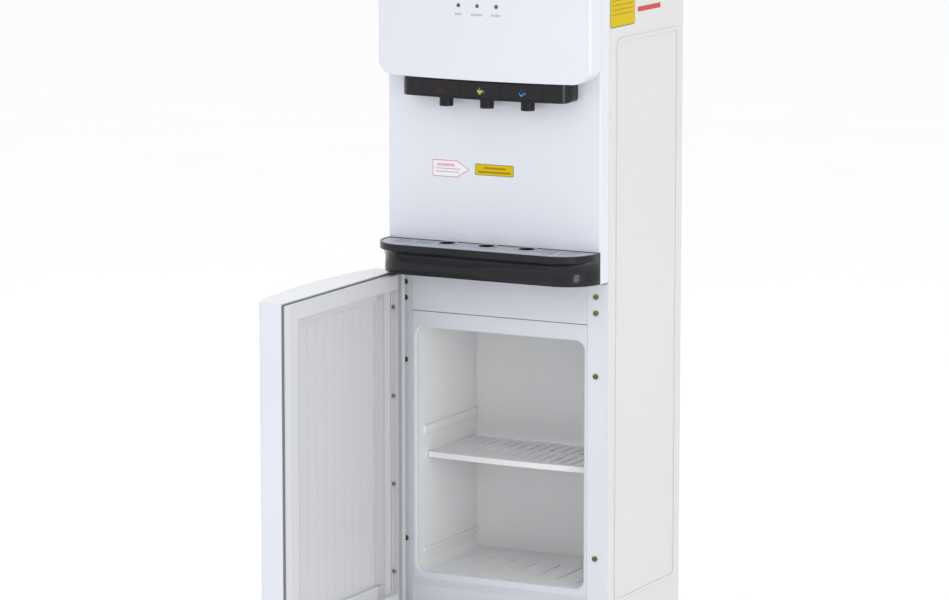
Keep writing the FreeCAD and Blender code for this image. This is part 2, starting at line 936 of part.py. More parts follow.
def make_tray():
    """Pull-out tray: a flat lip over a front that curves in, and two tongues behind."""
    body = new_body("drip_tray")
    low = d.tray_low
    top = d.tray_top
    behind = d.panel_face + 15
    sections = []
    for drop, setback in ((9, 1.5), (12, 7.5), (17, 12.5), (24, 15), (31, 14), (37, 13.5), (41, 15)):
        sketch = new_sketch(body, "Z", top - drop)
        draw(sketch, tray_outline(0, setback, behind))
        sections.append(sketch)
    doc.recompute()
    front = body.newObject("PartDesign::AdditiveLoft", "tray_front")
    front.Profile = sections[0]
    front.Sections = sections[1:]
    doc.recompute()
    add(body, "Z", top - d.lip_high, top, tray_outline(0))
    remove(body, "Y", d.panel_face - d.play, behind + 5, rectangle(-170, low - 5, 170, top + 5))
    remove(body, "Z", top - 4, top + 1, tray_outline(3))
    basin = [(-140, -141), (-140, -145, 28), (-112, -173), (112, -173, 28), (140, -145), (140, -141)]
    remove(body, "Z", low + 3, top + 1, basin)
    for x in (-85, 85):
        tongue = rectangle(x - 12, 570.4, x + 12, 576.2)
        add(body, "Y", d.panel_face - 2, d.panel_face + 22, tongue)


def make_grid():
    """Lift-off plate over the tray: three ringed drains and rows of slots."""
    body = new_body("drip_grid")
    low = d.tray_top - 3.7
    top = d.tray_top - 0.6
    drains = [((57.5 * i, d.tap_y), 11) for i in (-1, 0, 1)]
    add(body, "Z", low, top, tray_outline(3.4), circles=drains)
    rims = []
    for i in (-1, 0, 1):
        rims.append(((57.5 * i, d.tap_y), 14.3))
        rims.append(((57.5 * i, d.tap_y), 11))
    add(body, "Z", top - 0.2, top + 1, circles=rims)
    hollows = [((57.5 * i, d.tap_y), 13.2) for i in (-1, 0, 1)]
    remove(body, "Z", low - 1, top - 0.9, circles=hollows)
    seams = [rectangle(x - 0.7, -190.6, x + 0.7, -140) for x in (-100, 100)]
    remove(body, "Z", top - 0.8, top + 2, *seams)
    for first in (-128, 80, 112):
        slot = remove(
            body, "Z", low - 1, top + 2, rounded(first - 1.2, -170, first + 1.2, -143, 1.1)
        )
        repeat(body, slot, 3, 8)
    slot = remove(body, "Z", low - 1, top + 2, rounded(-97.2, -170, -94.8, -143, 1.1))
    repeat(body, slot, 3, 8)


# ---- cooled cabinet -------------------------------------------------------------------


def make_liner():
    """Moulded liner of the cooled cabinet, with side rails and a ribbed floor."""
    body = new_body("fridge_liner")
    half = d.cabin_half
    skin = d.liner
    front = -112.3
    low, top = d.cabin_low, d.cabin_top
    r = d.cabin_corner
    outer = rounded(-half - skin, low - skin, half + skin, top + skin, r + skin)
    add(body, "Y", front, d.cabin_back + skin, outer)
    flange = rounded(-half - 5.5, low - 5.5, half + 5.5, top + 5.5, r + 5.5)
    add(body, "Y", front, front + skin, flange)
    remove(body, "Y", front - 1, d.cabin_back, rounded(-half, low, half, top, r))
    for z, tall, front_end in ((174, 4, -98), (298.8, 4, -80), (333, 11, -98)):
        rails = []
        for side in (-1, 1):
            wall = (half + 0.5) * side
            edge = (half - 2.5) * side
            rails.append(rectangle(edge, z, wall, z + tall))
        add(body, "Y", front_end, d.cabin_back + 0.5, *rails)
    rib = add(body, "Y", -88, -4, rectangle(-101, low - 0.5, -98, low + 1.2))
    repeat(body, rib, 7, 33)


def make_cabin_foam():
    """Foamed insulation between the liner and the casing."""
    half = d.half_width - 3
    back = d.cabin_back + 26
    block = box("cabin_block", (-half, -107.5, d.cabin_low - 24), (half, back, d.cabin_top + 19))
    skin = d.liner + 0.1
    hollow = doc.addObject("PartDesign::Body", "cabin_hollow")
    outline = rounded(
        -d.cabin_half - skin,
        d.cabin_low - skin,
        d.cabin_half + skin,
        d.cabin_top + skin,
        d.cabin_corner + skin,
    )
    add(hollow, "Y", -115, d.cabin_back + skin, outline)
    part("cabin_foam", cut("cabin_cut", block, hollow))


def make_shelf():
    """Pull-out shelf: slotted deck with a bowed front lip."""
    body = new_body("fridge_shelf")
    half = d.cabin_half - 0.8
    top = d.shelf_top
    front = -92
    rise = 5
    edge = front + rise
    bow = arc_radius(half, rise)
    deck = [(-half, 44), (-half, edge, bow), (half, edge), (half, 44)]
    add(body, "Z", top - 3, top, deck)
    lip = [
        (-half, edge + 3),
        (-half, edge, bow),
        (half, edge),
        (half, edge + 3, -bow),
    ]
    add(body, "Z", top - 6, top + 1.5, lip)
    for start, end in ((-74, -20), (-12, 36)):
        slot = remove(body, "Z", top - 1.2, top + 1, rounded(-106, start, -98, end, 3.5))
        repeat(body, slot, 14, 15.6)


# ---- door -----------------------------------------------------------------------------


def hang(piece):
    """Swing a door piece, drawn shut about the hinge, to its open position."""
    quarter_open = Rotation(Vector(0, 0, 1), -90)
    return place(piece, (d.hinge_x, d.hinge_y, 0), quarter_open)


def door_plan(inset, back):
    """Plan of the door about its hinge: flat inside, bowed outside."""
    left = -d.half_width - d.hinge_x + inset
    right = d.half_width - d.hinge_x - inset
    edge = d.bow_edge - d.hinge_y + inset
    return bowed(left, right, back, edge, d.bow_corner - inset, d.bow_rise)


def door_face(inset):
    """Outline of the door seen from inside the cabinet."""
    left = -d.half_width - d.hinge_x + inset
    right = d.half_width - d.hinge_x - inset
    return rounded(left, d.door_low + inset, right, d.door_top - inset, 2)


def make_door():
    """Door: bowed outer shell, foam, inner liner, gasket and hinge bushes."""
    rim = d.door_inner - d.hinge_y - 3
    bush = d.pin_radius + 0.9
    shell = new_body("door_shell")
    add(shell, "Z", d.door_low, d.door_top, door_plan(0, rim))
    remove(shell, "Z", d.door_low + d.wall, d.door_top - d.wall, door_plan(d.wall, rim + 1))
    remove(shell, "Z", d.door_low - 1, d.door_top + 1, circles=[((0, 0), bush)])
    hang(shell)

    pivots = rectangle(-9, -9, 7, 9)
    clip_pitch = 118
    clip_tall = 4
    ends = ((d.door_low - 1, d.door_low + 24), (d.door_top - 24, d.door_top + 1))

    carrier = new_body("gasket_carrier")
    add(carrier, "Y", rim, rim + 2.4, door_face(1.2), door_face(7))
    clip = [(-1, 5.2), (0.4, 5.2), (0.4, 6.1), (17.2, 6.1)]
    clip += [(17.2, 10.5), (15.4, 10.5), (15.4, 7), (-1, 7)]
    for step in range(4):
        height = d.door_low + 48 + clip_pitch * step
        add(carrier, "Z", height, height + clip_tall, clip)
    for low, high in ends:
        remove(carrier, "Z", low, high, pivots)
    hang(carrier)

    liner = new_body("door_liner")
    face = rim + 3
    add(liner, "Y", rim + 0.2 - 6, face, door_face(7.3))
    recess = [(38, face + 1), (55.5, face - 5.5), (262, face - 5.5), (268.5, face + 1)]
    remove(liner, "Z", 143, 524, recess)
    flute = remove(liner, "Y", face - 5.7, face - 5, rectangle(66, 146, 74, 521))
    repeat(liner, flute, 9, 23.5)
    groove = rectangle(17.4, d.door_low + 24, 20.4, d.door_top - 24)
    remove(liner, "Y", face - 3, face + 1, groove)
    for low, high in ends:
        remove(liner, "Z", low, high, pivots)
    hang(liner)

    gasket = new_body("door_gasket")
    inner = door_face(2.5 + d.gasket_width)
    add(gasket, "Y", rim + 2.5, rim + 3.2, door_face(2.5), door_face(6.9))
    add(gasket, "Y", rim + 3.1, face + d.gasket_deep, door_face(2.5), inner)
    height = d.door_low + 48
    notch = rectangle(-1.3, height - 0.3, 16, height + clip_tall + 0.3)
    notch = remove(gasket, "Y", rim + 2, 7.3, notch)
    repeat(gasket, notch, 4, clip_pitch, "V_Axis")
    hang(gasket)

    foam = new_body("door_foam")
    inset = d.wall + 0.2
    add(foam, "Z", d.door_low + inset, d.door_top - inset, door_plan(inset, rim - 6))
    remove(foam, "Z", d.door_low, d.door_top, rectangle(-20, -8, 9, 20))
    hang(foam)

    bushes = []
    for low, high in ((d.door_low - 0.2, d.door_low + 22), (d.door_top - 22, d.door_top + 0.2)):
        sleeve = rod("sleeve", (0, 0, low), bush - 0.02, high - low)
        bore = rod("sleeve_bore", (0, 0, low - 1), d.pin_radius + d.pin_play, high - low + 2)
        bushes.append(cut("bush", sleeve, bore))
    part("hinge_bushes", hang(group("bush_pair", *bushes)))


def make_hinges():
    """Steel brackets that carry the door's two pins."""
    x, y = d.hinge_x, d.hinge_y
    reach_x = x + 22
    outer = -d.half_width + 0.5
    top_low = d.apron_top + 0.2
    top_plate = box("top_plate", (outer, y - 6.5, top_low), (reach_x, -113, top_low + 2.2))
    top_pin = rod("top_pin", (x, y, d.door_top - 20), d.pin_radius, top_low - d.door_top + 21)
    top = fuse("hinge_top", top_plate, top_pin)
    low = d.plinth_top + 0.2
    low_plate = box("low_plate", (outer, y - 6.5, low), (reach_x, -118.3, low + 2.8))
    low_pin = rod("low_pin", (x, y, low + 1), d.pin_radius, d.door_low + 19 - low)
    bottom = fuse("hinge_bottom", low_plate, low_pin)
    part("hinge_brackets", group("hinge_pair", top, bottom))


# ---- cooling system and wiring --------------------------------------------------------


def make_condenser():
    """Black wire-and-tube condenser on the back, on four stand-offs."""
    y = 124
    pieces = []
    tubes = 11
    pitch = 32
    first = 180
    for step in range(tubes):
        pieces.append(rod("run", (-112, y, first + pitch * step), 2.4, 224, "X"))
    for step in range(tubes - 1):
        side = 112 if step % 2 == 0 else -112
        z = first + pitch * step
        pieces.append(rod("link", (side, y, z), 2.4, pitch))
    for step in range(12):
        x = -99 + 18 * step
        pieces.append(rod("wire", (x, y - 2.2, first - 6), 0.9, pitch * (tubes - 1) + 12))
    for x in (-90, 81):
        for z in (first + pitch, first + pitch * 8):
            pieces.append(box("standoff", (x - 5, d.back_face, z - 5), (x + 5, y, z + 5)))
    part("condenser", fuse("condenser_fuse", *pieces))


def make_compressor():
    """Sealed compressor on rubber grommets, with its drier and pipes."""
    x, y = -35, 45
    shell = [
        (0, 31),
        (44, 31),
        (52, 40),
        (52, 72),
        (53.5, 73),
        (53.5, 77),
        (52, 78),
        (50, 98, 40),
        (28, 117),
        (0, 119),
    ]
    can = turned("compressor_can", (x, y), shell)
    parts.pop("compressor_can")
    plate = box("mount_plate", (x - 66, y - 46, 28.5), (x + 66, y + 46, 31.2))
    holes = []
    grommets = []
    for side in (-1, 1):
        for end in (-1, 1):
            spot = (x + 57 * side, y + 37 * end)
            holes.append(rod("mount_hole", (*spot, 25), 5, 10))
            wide = rod("grommet_foot", (*spot, 21.5), 9, 7)
            neck = rod("grommet_neck", (*spot, 21.5), 5, 12)
            grommets.append(fuse("grommet", wide, neck))
    base = cut("mount_cut", plate, *holes)
    part("compressor", fuse("compressor_fuse", can, base))
    part("compressor_grommets", group("grommet_group", *grommets))
    part("filter_drier", rod("drier", (60, 75, 40), 8, 80))


def make_pipes():
    """Copper pipes between the compressor and the two coils."""
    suction = [(20, 45, 90), (45, 45, 90), (45, 95, 90), (45, 95, 760), (45, 75, 760)]
    discharge = [(-90, 45, 90), (-125, 45, 90), (-125, 100, 90), (-125, 100, 250)]
    pipes = (tube("suction", suction, 3, 9), tube("discharge", discharge, 2.5, 9))
    part("copper_pipes", group("pipe_pair", *pipes))


def make_electrics():
    """Terminal box, rear rocker switches and the cord's gland."""
    part("control_box", box("terminal_box", (35, 20, 590), (125, 80, 640)))
    housings = []
    for word, x in (("hot", 80), ("cold", 105)):
        high = 700
        outer = box("switch_case", (x - 8.5, 96, high - 13.5), (x + 8.5, 113.2, high + 13.5))
        bezel = box("switch_bezel", (x - 11, d.back_face, high - 16), (x + 11, 115, high + 16))
        well = box("switch_well", (x - 6.6, 100, high - 11.8), (x + 6.6, 120, high + 11.8))
        pivot = rod("switch_pivot", (x - 8, 112, high), 1.55, 16, "X")
        housings.append(cut("housing", fuse("housing_fuse", outer, bezel), well, pivot))
        cap = box("rocker_cap", (x - 6, 107, high - 10), (x + 6, 118.5, high + 10))
        pin = rod("rocker_pin", (x - 7.9, 112, high), 1.5, 15.8, "X")
        part(f"rocker_{word}", fuse(f"rocker_{word}_fuse", cap, pin))
    part("switch_housings", group("housing_pair", *housings))
    sleeve = rod("gland_sleeve", (-115, 106, 80), 7, 16, "Y")
    nut = rod("gland_nut", (-115, d.back_face, 80), 10, 4, "Y")
    bore = rod("gland_bore", (-115, 100, 80), 3.6, 30, "Y")
    part("cord_gland", cut("gland_cut", fuse("gland", sleeve, nut), bore))


def check_and_write():
    """Stop on any failed object; write each sub-part's shape."""
    doc.recompute()
    for piece in doc.Objects:
        if "Invalid" in piece.State or "Error" in piece.State:
            raise RuntimeError(f"{piece.Name} is {piece.State}")
    for label, piece in parts.items():
        if piece.Shape.isNull() or not piece.Shape.isValid() or not piece.Shape.Solids:
            raise RuntimeError(f"{label} has no valid solid")
    os.makedirs("parts", exist_ok=True)
    for label, piece in parts.items():
        piece.Shape.exportStep(f"parts/{label}.step")
    print(len(parts), "sub-parts written")


make_side_panels()
make_base()
make_plinth()
make_back()
make_posts()
make_front_frame()
make_mid_panel()
make_fascia()
make_indicators()
make_top()
make_bottle_seat()
make_cold_tank()
make_hot_tank()
make_hoses()
make_drain()
make_tap_bar()
make_keys()
make_taps()
make_tray()
make_grid()
make_liner()
make_cabin_foam()
make_shelf()
make_door()
make_hinges()
make_condenser()
make_compressor()
make_pipes()
make_electrics()
check_and_write()
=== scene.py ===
import json
import math

import bmesh
import bpy
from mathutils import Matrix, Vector
from mathutils.bvhtree import BVHTree


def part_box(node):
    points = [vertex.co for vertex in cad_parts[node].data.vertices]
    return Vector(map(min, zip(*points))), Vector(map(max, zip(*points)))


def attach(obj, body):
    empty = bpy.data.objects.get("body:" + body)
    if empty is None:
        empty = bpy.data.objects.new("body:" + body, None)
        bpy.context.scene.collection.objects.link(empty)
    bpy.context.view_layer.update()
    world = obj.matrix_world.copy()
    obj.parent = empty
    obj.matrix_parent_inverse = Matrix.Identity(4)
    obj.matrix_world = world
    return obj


# Looks of a floor-standing water dispenser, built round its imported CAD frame.
# Everything is in metres, in the CAD's own frame.

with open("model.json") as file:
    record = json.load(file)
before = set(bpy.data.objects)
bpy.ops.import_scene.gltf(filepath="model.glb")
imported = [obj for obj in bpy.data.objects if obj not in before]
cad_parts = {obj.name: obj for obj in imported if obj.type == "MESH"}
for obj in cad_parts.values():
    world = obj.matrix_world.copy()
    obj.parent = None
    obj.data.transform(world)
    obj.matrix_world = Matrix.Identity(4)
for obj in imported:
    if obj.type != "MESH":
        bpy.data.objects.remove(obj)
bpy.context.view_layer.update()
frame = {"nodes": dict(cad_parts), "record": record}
MM = 0.001
EDGE_RADIUS = 0.0007
INK_STEP = 0.00012
EVEN = (1, 1, 1)


# ---- materials ------------------------------------------------------------------------


class Look:
    """A Principled material whose colour, roughness and bump vary over the surface."""

    def __init__(self, name, color, roughness):
        self.material = bpy.data.materials.new(name)
        self.material.use_nodes = True
        self.material.diffuse_color = (*color, 1)
        self.tree = self.material.node_tree
        self.shader = self.tree.nodes["Principled BSDF"]
        self.shader.inputs["Base Color"].default_value = (*color, 1)
        self.shader.inputs["Roughness"].default_value = roughness
        self.place = self.tree.nodes.new("ShaderNodeTexCoord")
        self.height = None

    def set(self, socket, value):
        self.shader.inputs[socket].default_value = value
        return self

    def noise(self, scale, detail, stretch):
        """A noise pattern in object space; stretch squeezes it along an axis."""
        mapping = self.tree.nodes.new("ShaderNodeMapping")
        mapping.inputs["Scale"].default_value = stretch
        texture = self.tree.nodes.new("ShaderNodeTexNoise")
        texture.inputs["Scale"].default_value = scale
        texture.inputs["Detail"].default_value = detail
        self.tree.links.new(self.place.outputs["Object"], mapping.inputs["Vector"])
        self.tree.links.new(mapping.outputs["Vector"], texture.inputs["Vector"])
        return texture.outputs["Fac"]

    def ramp(self, source, stops):
        """Colours, or greys, along a pattern's value."""
        node = self.tree.nodes.new("ShaderNodeValToRGB")
        ends = node.color_ramp.elements
        ends[0].position, ends[0].color = stops[0][0], (*stops[0][1], 1)
        ends[1].position, ends[1].color = stops[-1][0], (*stops[-1][1], 1)
        for position, color in stops[1:-1]:
            ends.new(position).color = (*color, 1)
        self.tree.links.new(source, node.inputs["Fac"])
        return node.outputs["Color"]

    def shade(self, scale, low, high, stretch=EVEN):
        """Let the base colour drift between two close tones."""
        pattern = self.noise(scale, detail=3.0, stretch=stretch)
        color = self.ramp(pattern, ((0.3, low), (0.7, high)))
        self.tree.links.new(color, self.shader.inputs["Base Color"])
        return self

    def rub(self, scale, low, high, stretch=EVEN):
        """Let the roughness drift between two values."""
        pattern = self.noise(scale, detail=4.0, stretch=stretch)
        grey = self.ramp(pattern, ((0.25, (low,) * 3), (0.75, (high,) * 3)))
        self.tree.links.new(grey, self.shader.inputs["Roughness"])
        return self

    def bump(self, scale, strength, distance, stretch=EVEN, detail=2.0):
        """Fine relief; a second call adds to the first."""
        node = self.tree.nodes.new("ShaderNodeBump")
        node.inputs["Strength"].default_value = strength
        node.inputs["Distance"].default_value = distance
        self.tree.links.new(self.noise(scale, detail, stretch), node.inputs["Height"])
        if self.height is not None:
            self.tree.links.new(self.height, node.inputs["Normal"])
        self.height = node.outputs["Normal"]
        self.tree.links.new(self.height, self.shader.inputs["Normal"])
        return self

    def soft_edges(self):
        """Round sharp edges in the shading, so that they catch the light."""
        bevel = self.tree.nodes.new("ShaderNodeBevel")
        bevel.inputs["Radius"].default_value = EDGE_RADIUS
        self.height = bevel.outputs["Normal"]
        self.tree.links.new(self.height, self.shader.inputs["Normal"])
        return self

    def across(self, axis, stops):
        """Set the base colour by the place along one axis, in metres."""
        split = self.tree.nodes.new("ShaderNodeSeparateXYZ")
        self.tree.links.new(self.place.outputs["Object"], split.inputs["Vector"])
        spread = self.tree.nodes.new("ShaderNodeMapRange")
        spread.inputs["From Min"].default_value = stops[0][0]
        spread.inputs["From Max"].default_value = stops[-1][0]
        self.tree.links.new(split.outputs[axis], spread.inputs["Value"])
        length = stops[-1][0] - stops[0][0]
        places = [((at - stops[0][0]) / length, color) for at, color in stops]
        color = self.ramp(spread.outputs["Result"], places)
        self.tree.links.new(color, self.shader.inputs["Base Color"])
        return self


def tint(color, amount):
    """The colour made darker or paler by a factor."""
    return tuple(max(0.0, c * amount) for c in color)


def moulded(name, color, roughness, coat=0.0, grain=900, strength=0.06):
    """Injection-moulded plastic: faint colour drift and a very fine skin texture."""
    look = Look(name, color, roughness).soft_edges()
    look.shade(9, tint(color, 0.985), tint(color, 1.015))
    look.rub(60, roughness * 0.85, roughness * 1.15)
    look.bump(grain, strength, distance=0.0001)
    if coat:
        look.set("Coat Weight", coat).set("Coat Roughness", 0.06)
    return look


def powder_coat(name, color, roughness):
    """Baked paint on sheet steel: orange peel over slow waves in the sheet."""
    look = Look(name, color, roughness).soft_edges()
    look.shade(5, tint(color, 0.985), tint(color, 1.01))
    look.rub(40, roughness * 0.85, roughness * 1.2)
    look.bump(scale=520, strength=0.12, distance=0.00015, detail=3.0)
    look.bump(scale=7, strength=0.05, distance=0.002, stretch=(1, 1, 0.35))
    look.set("Coat Weight", 0.2).set("Coat Roughness", 0.25)
    return look


def metal(name, color, roughness, stretch=EVEN):
    """Bare metal with drawing or brushing marks."""
    look = Look(name, color, roughness)
    look.set("Metallic", 1.0)
    look.shade(30, tint(color, 0.85), tint(color, 1.08), stretch)
    look.rub(80, roughness * 0.7, roughness * 1.4, stretch)
    look.bump(scale=300, strength=0.2, distance=0.0001, stretch=stretch)
    return look


def add_painted_hinge_shade(look, pale, shade_tone, start_back, end_back, soft):
    """Paint a band of shade that runs beside the hinge, measured back from the carrier's edge.
    """
    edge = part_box("gasket_carrier")[1].y
    start, end = edge - start_back, edge - end_back
    # painted shade: the band between start and end takes the darker tone
    stops = ((start - soft, pale), (start, shade_tone), (end, shade_tone), (end + soft, pale))
    return look.across("Y", stops)


def door_liner_look():
    """Pale grey moulding, with painted shade: a darker tone on the slope beside the hinge."""
    # the second tone is painted shade on the slope beside the hinge
    pale, slope_shade = (0.60, 0.605, 0.62), (0.475, 0.48, 0.495)
    look = moulded("door_grey", pale, 0.38, coat=0.1, grain=420, strength=0.08)
    return add_painted_hinge_shade(look, pale, slope_shade, start_back=0.061, end_back=0.043, soft=0.002)


def door_gasket_look():
    """Soft pale rubber, with painted shade: a darker tone along the hinge."""
    # the second tone is painted shade on the gasket's run along the hinge
    pale, shade_tone = (0.60, 0.61, 0.63), (0.36, 0.36, 0.37)
    look = moulded("gasket_pale", pale, 0.55, grain=650, strength=0.2)
    return add_painted_hinge_shade(look, pale, shade_tone, start_back=0.0195, end_back=0.011, soft=0.0012)


def make_looks():
    """The finish of each material slot that the CAD's record names."""
    looks = {}
    looks["white_steel"] = powder_coat("white_steel", (0.64, 0.64, 0.647), 0.38)
    looks["white_gloss"] = moulded("white_gloss", (0.66, 0.685, 0.75), 0.22, coat=0.5)
    looks["white_frame"] = moulded("white_frame", (0.63, 0.65, 0.70), 0.42)
    looks["liner_white"] = moulded(
        "liner_white", (0.78, 0.785, 0.795), 0.33, coat=0.15, grain=420, strength=0.08
    )
    looks["door_grey"] = door_liner_look()
    gloss = moulded("gloss_black", (0.008, 0.008, 0.011), 0.17, grain=500, strength=0.03)
    looks["gloss_black"] = gloss.set("Specular IOR Level", 0.32)
    looks["grid_grey"] = moulded(
        "grid_grey", (0.36, 0.38, 0.45), 0.34, grain=700, strength=0.12
    )
    looks["lens_dark"] = moulded("lens_dark", (0.045, 0.06, 0.085), 0.1, coat=1.0)
    looks["gasket_pale"] = door_gasket_look()
    looks["seal_dark"] = moulded(
        "seal_dark", (0.16, 0.16, 0.175), 0.7, grain=500, strength=0.3
    )
    looks["steel_bare"] = metal(
        "steel_bare", (0.62, 0.62, 0.64), 0.32, stretch=(1, 1, 0.06)
    )
    looks["screw_brass"] = metal("screw_brass", (0.20, 0.18, 0.07), 0.4)
    looks["black_metal"] = powder_coat("black_metal", (0.018, 0.018, 0.02), 0.4)
    looks["copper"] = metal("copper", (0.78, 0.42, 0.28), 0.3)
    foam = Look("foam", (0.80, 0.78, 0.70), 0.9)
    foam.shade(70, (0.72, 0.70, 0.62), (0.85, 0.83, 0.76))
    foam.bump(scale=260, strength=0.6, distance=0.0008, detail=5.0)
    looks["foam"] = foam
    felt = Look("felt", (0.30, 0.30, 0.29), 0.95)
    felt.shade(300, (0.2, 0.2, 0.19), (0.4, 0.4, 0.39))
    felt.bump(scale=900, strength=0.9, distance=0.0006, detail=6.0)
    looks["felt"] = felt
    looks["board"] = moulded(
        "board", (0.02, 0.14, 0.06), 0.35, coat=0.3, grain=200, strength=0.2
    )
    looks["nylon"] = moulded("nylon", (0.72, 0.72, 0.68), 0.45)
    matt = moulded("black_plastic", (0.009, 0.009, 0.011), 0.38, grain=700, strength=0.15)
    looks["black_plastic"] = matt.set("Specular IOR Level", 0.25)
    silicone = moulded("silicone", (0.70, 0.73, 0.73), 0.35)
    looks["silicone"] = silicone.set("Subsurface Weight", 0.2)
    looks["rocker_red"] = moulded("rocker_red", (0.42, 0.02, 0.015), 0.2, coat=0.6)
    looks["rocker_green"] = moulded("rocker_green", (0.02, 0.24, 0.07), 0.2, coat=0.6)
    return {slot: look.material for slot, look in looks.items()}


def dress_frame(materials):
    """Give every CAD node the finish that its material slot names."""
    for entry in frame["record"]["subparts"]:
        node = frame["nodes"][entry["node"]]
        for slot in node.material_slots:
            slot.material = materials[entry["material_slot"]]
        if not node.material_slots:
            node.data.materials.append(materials[entry["material_slot"]])


def ink(name, color, roughness=0.45):
    """Printed ink or label film, with the slight unevenness of print."""
    look = Look(name, color, roughness).set("Specular IOR Level", 0.1)
    look.shade(400, tint(color, 0.94), tint(color, 1.04))
    look.bump(scale=900, strength=0.08, distance=0.00005)
    return look.material


# ---- thin printed pieces --------------------------------------------------------------


def add_object(name, data):
    piece = bpy.data.objects.new(name, data)
    bpy.context.scene.collection.objects.link(piece)
    return piece


def add_mesh(name, build, materials):
    """Turn a finished bmesh into an object of the scene."""
    mesh = bpy.data.meshes.new(name)
    build.to_mesh(mesh)
    build.free()
    for material in materials:
        mesh.materials.append(material)
    return add_object(name, mesh)


class Face:
    """A surface of a CAD node that thin prints are laid on, seen along an inward ray."""

    def __init__(self, node, inward):
        self.inward = Vector(inward)
        self.tree = BVHTree.FromObject(
            frame["nodes"][node], bpy.context.evaluated_depsgraph_get()
        )

    def land(self, point, lift):
        """The point moved onto the surface, then lifted off it."""
        outside = 0.2
        start = Vector(point) - self.inward * outside
        spot = self.tree.ray_cast(start, self.inward)[0]
        if spot is None:
            raise RuntimeError(f"nothing to print on at {tuple(point)}")
        return spot - self.inward * lift


def outline_rectangle(x0, z0, x1, z1, r=0.0):
    """A rectangle's outline, with its corners rounded by r."""
    if not r:
        return [(x0, z0), (x1, z0), (x1, z1), (x0, z1)]
    points = []
    steps = 4
    corners = (
        (x1 - r, z1 - r, 0),
        (x0 + r, z1 - r, 90),
        (x0 + r, z0 + r, 180),
        (x1 - r, z0 + r, 270),
    )
    for cx, cz, first in corners:
        for step in range(steps + 1):
            angle = math.radians(first + 90 / steps * step)
            points.append((cx + r * math.cos(angle), cz + r * math.sin(angle)))
    return points


def outline_half_disc(x, z, radius):
    """The lower half of a disc, with its flat side up."""
    points = []
    steps = 12
    for step in range(steps + 1):
        angle = math.radians(180 + 180 * step / steps)
        points.append((x + radius * math.cos(angle), z + radius * math.sin(angle)))
    return points


def print_piece(name, body, face, across, patches):
    """Join flat patches of ink into one thin piece that lies on a face.

    across is the axis that the outlines' first number runs along; the second is z.
    Each patch is (outline in mm, material, layers above the surface).
    """
    build = bmesh.new()
    axis = Vector(across)
    materials = []
    for outline, material, layer in patches:
        if material not in materials:
            materials.append(material)
        ring = []
        for u, z in outline:
            ring.append(build.verts.new(axis * u * MM + Vector((0, 0, z * MM))))
        patch = build.faces.new(ring)
        patch.material_index = materials.index(material)
        depth = INK_STEP * (layer + 1)
        for vert in ring:
            vert.co = face.land(vert.co, depth)
        base = bmesh.ops.extrude_face_region(build, geom=[patch])
        for item in base["geom"]:
            if isinstance(item, bmesh.types.BMVert):
                item.co += face.inward * depth
    bmesh.ops.recalc_face_normals(build, faces=build.faces)
    piece = add_mesh(name, build, materials)
    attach(piece, body)


def make_front_labels(inks):
    """Two blank generic stickers on the plain wall: an arrow and a yellow bar."""
    face = Face("mid_panel", (0, 1, 0))
    above_tray, tall, border = 84, 22, 1.1
    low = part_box("drip_tray")[1].z / MM + above_tray
    high = low + tall
    middle = (low + high) / 2

    def arrow(left, shoulder, tip, inset):
        bottom, top = low + inset, high - inset
        return [(left, bottom), (shoulder, bottom), (tip, middle), (shoulder, top), (left, top)]

    tip = -34.6
    patches = [
        (arrow(-88.3, -52.6, tip, 0), inks["pale_red"], 0),
        (arrow(-87.2, -53, tip - 1.7, border), inks["label_white"], 1),
        (outline_rectangle(-82, high - 8, -56, high - 4.6), inks["soft_red"], 2),
    ]
    line_left, half_line = -84, 0.6
    for drop, reach in ((11.2, -48), (15.2, -50)):
        z = high - drop
        row = outline_rectangle(line_left, z - half_line, reach, z + half_line)
        patches.append((row, inks["soft_grey"], 2))
    print_piece("arrow_sticker", "cabinet", face, (1, 0, 0), patches)

    low, high = low + 5, low + 20
    inner = outline_rectangle(-25.4, low + border, 28.4, high - border, 1.4)
    patches = [
        (outline_rectangle(-26.5, low, 29.5, high, 2), inks["label_grey"], 0),
        (inner, inks["label_yellow"], 1),
        (outline_rectangle(-13, high - 6.2, 18, high - 4), inks["label_brown"], 2),
        (outline_rectangle(-22, low + 3.4, 25, low + 5.6), inks["label_brown"], 2),
    ]
    print_piece("yellow_sticker", "cabinet", face, (1, 0, 0), patches)


def make_side_labels(inks):
    """The tall yellow sticker and the small red bar, high on the right side."""
    face = Face("side_panel_right", (-1, 0, 0))
    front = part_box("side_panel_right")[0].y / MM
    low, high = 884.5, 948
    y0, y1 = front + 1.5, front + 75
    border = 1.2
    inner = outline_rectangle(y0 + border, low + border, y1 - border, high - border, 3)
    patches = [
        (outline_rectangle(y0, low, y1, high, 4), inks["label_dark"], 0),
        (inner, inks["label_yellow"], 1),
    ]
    rows, first_row, row_pitch, row_high, margin = 7, 16, 6, 1, 6
    for row in range(rows):
        z = low + first_row + row * row_pitch
        line = outline_rectangle(y0 + margin, z, y1 - margin, z + row_high)
        patches.append((line, inks["label_ochre"], 2))
    print_piece("side_sticker", "cabinet", face, (0, 1, 0), patches)
    patches = [(outline_rectangle(-28, 899, 41, 905.5, 0.8), inks["label_red"], 0)]
    print_piece("side_bar_sticker", "cabinet", face, (0, 1, 0), patches)


